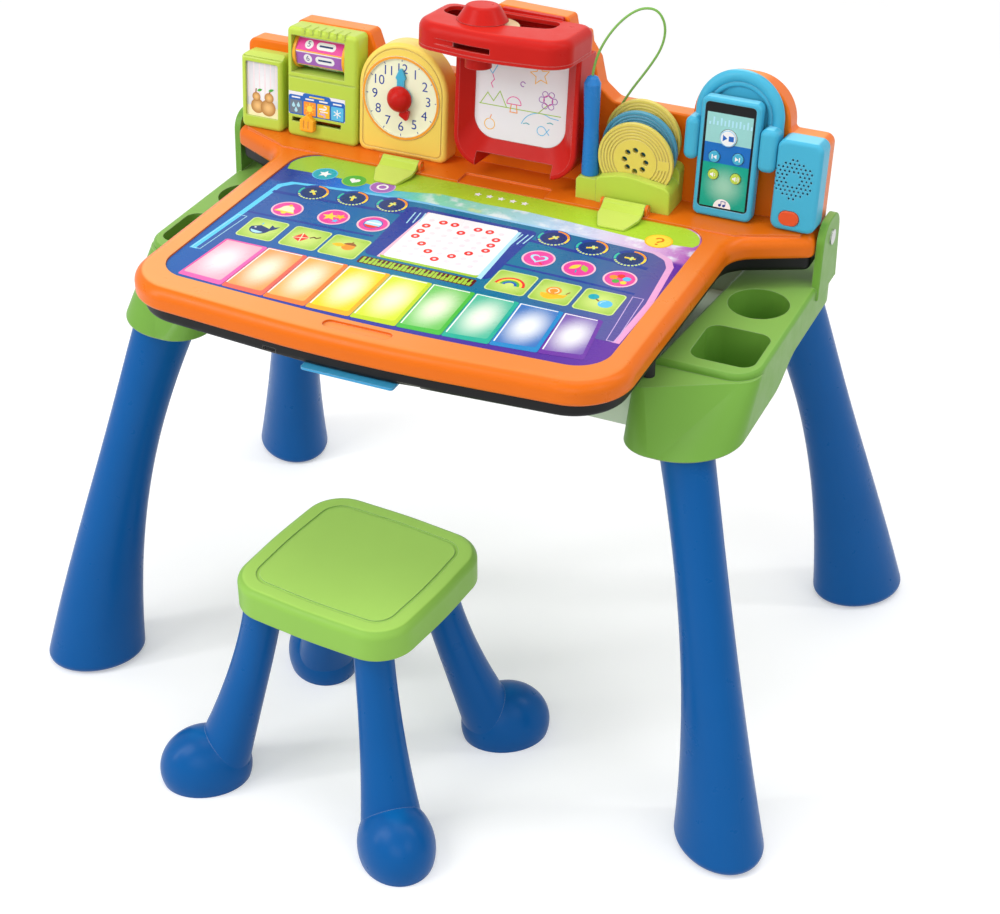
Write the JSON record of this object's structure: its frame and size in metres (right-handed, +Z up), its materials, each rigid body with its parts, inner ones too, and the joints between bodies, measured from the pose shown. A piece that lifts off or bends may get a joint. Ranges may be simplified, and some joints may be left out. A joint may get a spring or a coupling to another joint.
{
  "type": "electronic learning desk",
  "caption": "Child's electronic learning desk: hinged lid with printed piano page, back wall of toy modules with clock, calendar, projector and pen, splayed legs, and a separate stool.",
  "frame": {"origin": "on the floor, midway between the sides of the legs and midway between the stool's front and the rear feet", "axes": "+X to the sitting child's right along the desk's long side, +Y away from the child towards the back wall, +Z up"},
  "size_m": [0.7476, 0.6228, 0.6389],
  "materials": {
    "green_plastic": "satin moulded green",
    "blue_plastic": "glossy moulded blue",
    "tray_plastic": "pale moulded plastic",
    "orange_plastic": "glossy orange",
    "black_plastic": "fine grained black",
    "printed_page": "printed film, bright colours",
    "chalk_face": "matt writing surface",
    "rubber": "matt",
    "steel": "plain",
    "circuit": "circuit board laminate",
    "lime_plastic": "satin lime",
    "yellow_plastic": "satin yellow",
    "dial_print": "printed dial",
    "print_card": "printed card",
    "drum_print": "printed bands",
    "red_plastic": "glossy red",
    "white_print": "white printed plate",
    "cream_plastic": "cream",
    "sky_plastic": "satin sky blue",
    "screen_print": "printed dark screen",
    "white_button": "white",
    "cord_green": "soft green sheath",
    "grey_metal": "plain"
  },
  "bodies": {
    "base": {"caddy_right": "green_plastic", "caddy_left": "green_plastic", "storage_tray": "tray_plastic", "rest_pads": "rubber", "hinge_pins": "steel", "leg_front_right": "blue_plastic", "leg_front_left": "blue_plastic", "leg_rear_right": "blue_plastic", "leg_rear_left": "blue_plastic"},
    "lid": {"lid_shell": "orange_plastic", "lid_pan": "black_plastic", "chalk_board": "chalk_face", "battery_box": "black_plastic", "circuit_board": "circuit", "front_grip": "sky_plastic", "touch_page": "printed_page", "back_panel": "orange_plastic", "back_cover": "orange_plastic", "back_screws": "steel", "photo_frame": "lime_plastic", "photo_card": "print_card", "calendar_case": "lime_plastic", "weather_label": "print_card", "clock_case": "yellow_plastic", "clock_dial": "dial_print", "clock_spindle": "grey_metal", "projector_frame": "red_plastic", "picture_screen": "white_print", "projector_head": "red_plastic", "head_cover": "red_plastic", "lens_barrel": "red_plastic", "disc_holder": "lime_plastic", "cord_gland": "lime_plastic", "player_case": "sky_plastic", "player_screen": "screen_print", "headphones": "sky_plastic", "speaker_case": "sky_plastic", "speaker_driver": "grey_metal"},
    "clip_left": {"clip_left": "lime_plastic"},
    "clip_right": {"clip_right": "lime_plastic"},
    "day_drum": {"day_drum": "drum_print"},
    "weather_slider": {"weather_slider": "orange_plastic"},
    "minute_hand": {"minute_hand": "sky_plastic"},
    "hour_hand": {"hour_hand": "red_plastic"},
    "picture_wheel": {"projector_knob": "red_plastic", "picture_disc": "cream_plastic"},
    "disc_front": {"disc_front": "yellow_plastic"},
    "disc_middle": {"disc_middle": "sky_plastic"},
    "disc_rear": {"disc_rear": "yellow_plastic"},
    "stencil_pen": {"stencil_pen": "blue_plastic", "pen_cord": "cord_green"},
    "play_button": {"play_button": "white_button"},
    "back_button": {"back_button": "sky_plastic"},
    "skip_button": {"skip_button": "sky_plastic"},
    "quieter_button": {"quieter_button": "lime_plastic"},
    "louder_button": {"louder_button": "lime_plastic"},
    "speaker_button": {"speaker_button": "red_plastic"},
    "stool": {"stool_seat": "green_plastic", "stool_legs": "blue_plastic"}
  },
  "joints": [
    {"name": "lid_hinge", "type": "hinge", "parent": "base", "child": "lid", "pos_m": [0, 0.1602, 0.449], "axis": [-1, 0, 0], "range_deg": [0, 75]},
    {"name": "clip_left_hinge", "type": "hinge", "parent": "lid", "child": "clip_left", "pos_m": [-0.1005, 0.1092, 0.4665], "axis": [-1, 0, 0], "range_deg": [0, 25], "stiffness_Nm_per_rad": 0.05, "springref_deg": -11.46},
    {"name": "clip_right_hinge", "type": "hinge", "parent": "lid", "child": "clip_right", "pos_m": [0.1205, 0.1092, 0.4665], "axis": [-1, 0, 0], "range_deg": [0, 25], "stiffness_Nm_per_rad": 0.05, "springref_deg": -11.46},
    {"name": "day_drum_spin", "type": "hinge", "parent": "lid", "child": "day_drum", "pos_m": [-0.199, 0.154, 0.53913], "axis": [1, 0, 0], "continuous": true},
    {"name": "weather_slide", "type": "slide", "parent": "lid", "child": "weather_slider", "axis": [1, 0, 0], "range_m": [-0.0157, 0.0307]},
    {"name": "minute_hand_spin", "type": "hinge", "parent": "lid", "child": "minute_hand", "pos_m": [-0.112, 0.13408, 0.51699], "axis": [0, 0.9945, -0.1044], "continuous": true},
    {"name": "hour_hand_spin", "type": "hinge", "parent": "lid", "child": "hour_hand", "pos_m": [-0.112, 0.1301, 0.51741], "axis": [0, 0.9945, -0.1044], "continuous": true},
    {"name": "picture_wheel_spin", "type": "hinge", "parent": "lid", "child": "picture_wheel", "pos_m": [-0.024, 0.12376, 0.61028], "axis": [0, 0.1044, 0.9945], "continuous": true},
    {"name": "disc_front_lift", "type": "slide", "parent": "lid", "child": "disc_front", "axis": [0, 0, 1], "range_m": [0, 0.038]},
    {"name": "disc_middle_lift", "type": "slide", "parent": "lid", "child": "disc_middle", "axis": [0, 0, 1], "range_m": [0, 0.038]},
    {"name": "disc_rear_lift", "type": "slide", "parent": "lid", "child": "disc_rear", "axis": [0, 0, 1], "range_m": [0, 0.038]},
    {"name": "pen_lift", "type": "slide", "parent": "lid", "child": "stencil_pen", "axis": [0, 0, 1], "range_m": [0, 0.025]},
    {"name": "play_press", "type": "slide", "parent": "lid", "child": "play_button", "axis": [0, 0.9945, -0.1044], "range_m": [0, 0.001], "stiffness_N_per_m": 400, "springref_m": -0.0005},
    {"name": "back_press", "type": "slide", "parent": "lid", "child": "back_button", "axis": [0, 0.9945, -0.1044], "range_m": [0, 0.001], "stiffness_N_per_m": 400, "springref_m": -0.0005},
    {"name": "skip_press", "type": "slide", "parent": "lid", "child": "skip_button", "axis": [0, 0.9945, -0.1044], "range_m": [0, 0.001], "stiffness_N_per_m": 400, "springref_m": -0.0005},
    {"name": "quieter_press", "type": "slide", "parent": "lid", "child": "quieter_button", "axis": [0, 0.9945, -0.1044], "range_m": [0, 0.001], "stiffness_N_per_m": 400, "springref_m": -0.0005},
    {"name": "louder_press", "type": "slide", "parent": "lid", "child": "louder_button", "axis": [0, 0.9945, -0.1044], "range_m": [0, 0.001], "stiffness_N_per_m": 400, "springref_m": -0.0005},
    {"name": "speaker_press", "type": "slide", "parent": "lid", "child": "speaker_button", "axis": [0, 0.9945, -0.1044], "range_m": [0, 0.001], "stiffness_N_per_m": 400, "springref_m": -0.0005},
    {"name": "stool_pull", "type": "slide", "parent": "base", "child": "stool", "axis": [0, -1, 0], "range_m": [0, 0.25]}
  ]
}
